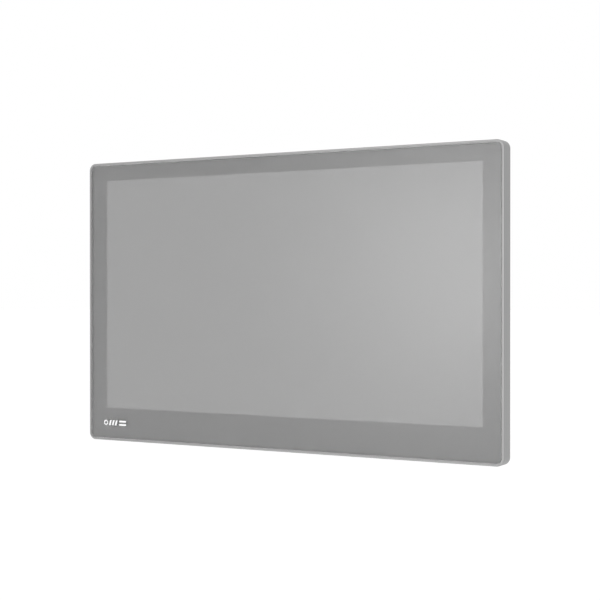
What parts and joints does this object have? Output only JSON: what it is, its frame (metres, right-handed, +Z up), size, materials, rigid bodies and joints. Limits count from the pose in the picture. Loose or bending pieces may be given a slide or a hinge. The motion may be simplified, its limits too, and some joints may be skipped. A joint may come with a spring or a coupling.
{
  "type": "hmi touch panel",
  "caption": "Wide flush-glass industrial touch display with a thin metal rim, a sheet-metal rear housing, panel clamps, rear keys and bottom sockets.",
  "frame": {"origin": "centre of the rear bolt pattern, on the rear face", "axes": "+X to the viewer's right from the front, +Y from the front glass to the rear, +Z up"},
  "size_m": [0.379, 0.0452, 0.236],
  "materials": {
    "frame_aluminium": "fine satin anodised",
    "cover_glass": "anti-glare, softly etched front",
    "border_ink": "printed grey border",
    "black_rubber": "matt",
    "grey_rubber": "matt",
    "foam_tape": "matt",
    "sensor_glass": "clear",
    "clear_adhesive": "clear cured adhesive",
    "cell_glass": "matt polariser",
    "module_plastic": "moulded",
    "diffuser_film": "translucent",
    "guide_acrylic": "clear acrylic",
    "led_ceramic": "matt",
    "white_reflector": "smooth white",
    "zinc_steel": "zinc plated",
    "circuit_board": "solder mask over glass laminate",
    "screw_steel": "nickel plated",
    "brass": "plain",
    "chip_resin": "moulded resin",
    "capacitor_sleeve": "shrunk sleeve",
    "sink_aluminium": "extruded",
    "flex_film": "polyimide film",
    "ribbon_film": "white film",
    "port_shell": "plated, drawn",
    "vga_blue": "moulded",
    "terminal_green": "moulded",
    "switch_black": "moulded",
    "housing_paint": "fine textured powder coat",
    "plate_aluminium": "brushed, blank",
    "key_plastic": "moulded",
    "pad_rubber": "matt"
  },
  "bodies": {
    "root": {"front_frame": "frame_aluminium", "cover_glass": "cover_glass", "border_mask": "border_ink", "glass_seal": "grey_rubber", "glass_tape": "foam_tape", "touch_sensor": "sensor_glass", "optical_adhesive": "clear_adhesive", "lcd_cell": "cell_glass", "lcd_mid_frame": "module_plastic", "optical_films": "diffuser_film", "light_guide": "guide_acrylic", "led_strip": "led_ceramic", "reflector_sheet": "white_reflector", "lcd_chassis": "zinc_steel", "driver_board": "circuit_board", "panel_gasket": "black_rubber", "chassis_plate": "zinc_steel", "inner_screws": "screw_steel", "board_standoffs": "brass", "scaler_board": "circuit_board", "power_board": "circuit_board", "touch_board": "circuit_board", "board_chips": "chip_resin", "capacitors": "capacitor_sleeve", "heat_sink": "sink_aluminium", "touch_fpc": "flex_film", "lvds_ribbon": "ribbon_film", "hdmi_port": "port_shell", "vga_port": "vga_blue", "vga_standoffs": "screw_steel", "usb_port": "port_shell", "terminal_header": "terminal_green", "rocker_bezel": "switch_black", "key_board": "circuit_board", "key_switches": "chip_resin", "rear_housing": "housing_paint", "housing_screws": "screw_steel", "vesa_inserts": "screw_steel", "rating_plate": "plate_aluminium", "ground_screw": "brass", "clamp_arms": "zinc_steel"},
    "rocker_paddle": {"rocker_paddle": "switch_black"},
    "key_menu": {"key_menu": "key_plastic"},
    "key_down": {"key_down": "key_plastic"},
    "key_up": {"key_up": "key_plastic"},
    "key_select": {"key_select": "key_plastic"},
    "key_power": {"key_power": "key_plastic"},
    "clamp_screw_upper_left": {"clamp_screw_upper_left": "screw_steel"},
    "clamp_screw_upper_middle": {"clamp_screw_upper_middle": "screw_steel"},
    "clamp_screw_upper_right": {"clamp_screw_upper_right": "screw_steel"},
    "clamp_screw_lower_left": {"clamp_screw_lower_left": "screw_steel"},
    "clamp_screw_lower_middle": {"clamp_screw_lower_middle": "screw_steel"},
    "clamp_screw_lower_right": {"clamp_screw_lower_right": "screw_steel"},
    "clamp_pad_upper_left": {"clamp_pad_upper_left": "pad_rubber"},
    "clamp_pad_upper_middle": {"clamp_pad_upper_middle": "pad_rubber"},
    "clamp_pad_upper_right": {"clamp_pad_upper_right": "pad_rubber"},
    "clamp_pad_lower_left": {"clamp_pad_lower_left": "pad_rubber"},
    "clamp_pad_lower_middle": {"clamp_pad_lower_middle": "pad_rubber"},
    "clamp_pad_lower_right": {"clamp_pad_lower_right": "pad_rubber"}
  },
  "joints": [
    {"name": "rocker_tilt", "type": "hinge", "parent": "root", "child": "rocker_paddle", "pos_m": [-0.05, -0.013, -0.104], "axis": [0, 1, 0], "range_deg": [-14, 0]},
    {"name": "key_menu_press", "type": "slide", "parent": "root", "child": "key_menu", "axis": [0, -1, 0], "range_m": [0, 0.0005], "stiffness_N_per_m": 800},
    {"name": "key_down_press", "type": "slide", "parent": "root", "child": "key_down", "axis": [0, -1, 0], "range_m": [0, 0.0005], "stiffness_N_per_m": 800},
    {"name": "key_up_press", "type": "slide", "parent": "root", "child": "key_up", "axis": [0, -1, 0], "range_m": [0, 0.0005], "stiffness_N_per_m": 800},
    {"name": "key_select_press", "type": "slide", "parent": "root", "child": "key_select", "axis": [0, -1, 0], "range_m": [0, 0.0005], "stiffness_N_per_m": 800},
    {"name": "key_power_press", "type": "slide", "parent": "root", "child": "key_power", "axis": [0, -1, 0], "range_m": [0, 0.0005], "stiffness_N_per_m": 800},
    {"name": "clamp_feed_upper_left", "type": "slide", "parent": "root", "child": "clamp_pad_upper_left", "axis": [0, -1, 0], "range_m": [-0.002, 0.0058]},
    {"name": "clamp_turn_upper_left", "type": "hinge", "parent": "clamp_pad_upper_left", "child": "clamp_screw_upper_left", "pos_m": [-0.12, -0.014, 0.111], "axis": [0, -1, 0], "range_deg": [-1029, 2983]},
    {"name": "clamp_feed_upper_middle", "type": "slide", "parent": "root", "child": "clamp_pad_upper_middle", "axis": [0, -1, 0], "range_m": [-0.002, 0.0058]},
    {"name": "clamp_turn_upper_middle", "type": "hinge", "parent": "clamp_pad_upper_middle", "child": "clamp_screw_upper_middle", "pos_m": [0, -0.014, 0.111], "axis": [0, -1, 0], "range_deg": [-1029, 2983]},
    {"name": "clamp_feed_upper_right", "type": "slide", "parent": "root", "child": "clamp_pad_upper_right", "axis": [0, -1, 0], "range_m": [-0.002, 0.0058]},
    {"name": "clamp_turn_upper_right", "type": "hinge", "parent": "clamp_pad_upper_right", "child": "clamp_screw_upper_right", "pos_m": [0.12, -0.014, 0.111], "axis": [0, -1, 0], "range_deg": [-1029, 2983]},
    {"name": "clamp_feed_lower_left", "type": "slide", "parent": "root", "child": "clamp_pad_lower_left", "axis": [0, -1, 0], "range_m": [-0.002, 0.0058]},
    {"name": "clamp_turn_lower_left", "type": "hinge", "parent": "clamp_pad_lower_left", "child": "clamp_screw_lower_left", "pos_m": [-0.12, -0.014, -0.111], "axis": [0, -1, 0], "range_deg": [-1029, 2983]},
    {"name": "clamp_feed_lower_middle", "type": "slide", "parent": "root", "child": "clamp_pad_lower_middle", "axis": [0, -1, 0], "range_m": [-0.002, 0.0058]},
    {"name": "clamp_turn_lower_middle", "type": "hinge", "parent": "clamp_pad_lower_middle", "child": "clamp_screw_lower_middle", "pos_m": [0, -0.014, -0.111], "axis": [0, -1, 0], "range_deg": [-1029, 2983]},
    {"name": "clamp_feed_lower_right", "type": "slide", "parent": "root", "child": "clamp_pad_lower_right", "axis": [0, -1, 0], "range_m": [-0.002, 0.0058]},
    {"name": "clamp_turn_lower_right", "type": "hinge", "parent": "clamp_pad_lower_right", "child": "clamp_screw_lower_right", "pos_m": [0.12, -0.014, -0.111], "axis": [0, -1, 0], "range_deg": [-1029, 2983]}
  ],
  "couplings": [
    {"joint": "clamp_turn_upper_left", "follows": "clamp_feed_upper_left", "rad_per_m": 8976},
    {"joint": "clamp_turn_upper_middle", "follows": "clamp_feed_upper_middle", "rad_per_m": 8976},
    {"joint": "clamp_turn_upper_right", "follows": "clamp_feed_upper_right", "rad_per_m": 8976},
    {"joint": "clamp_turn_lower_left", "follows": "clamp_feed_lower_left", "rad_per_m": 8976},
    {"joint": "clamp_turn_lower_middle", "follows": "clamp_feed_lower_middle", "rad_per_m": 8976},
    {"joint": "clamp_turn_lower_right", "follows": "clamp_feed_lower_right", "rad_per_m": 8976}
  ]
}
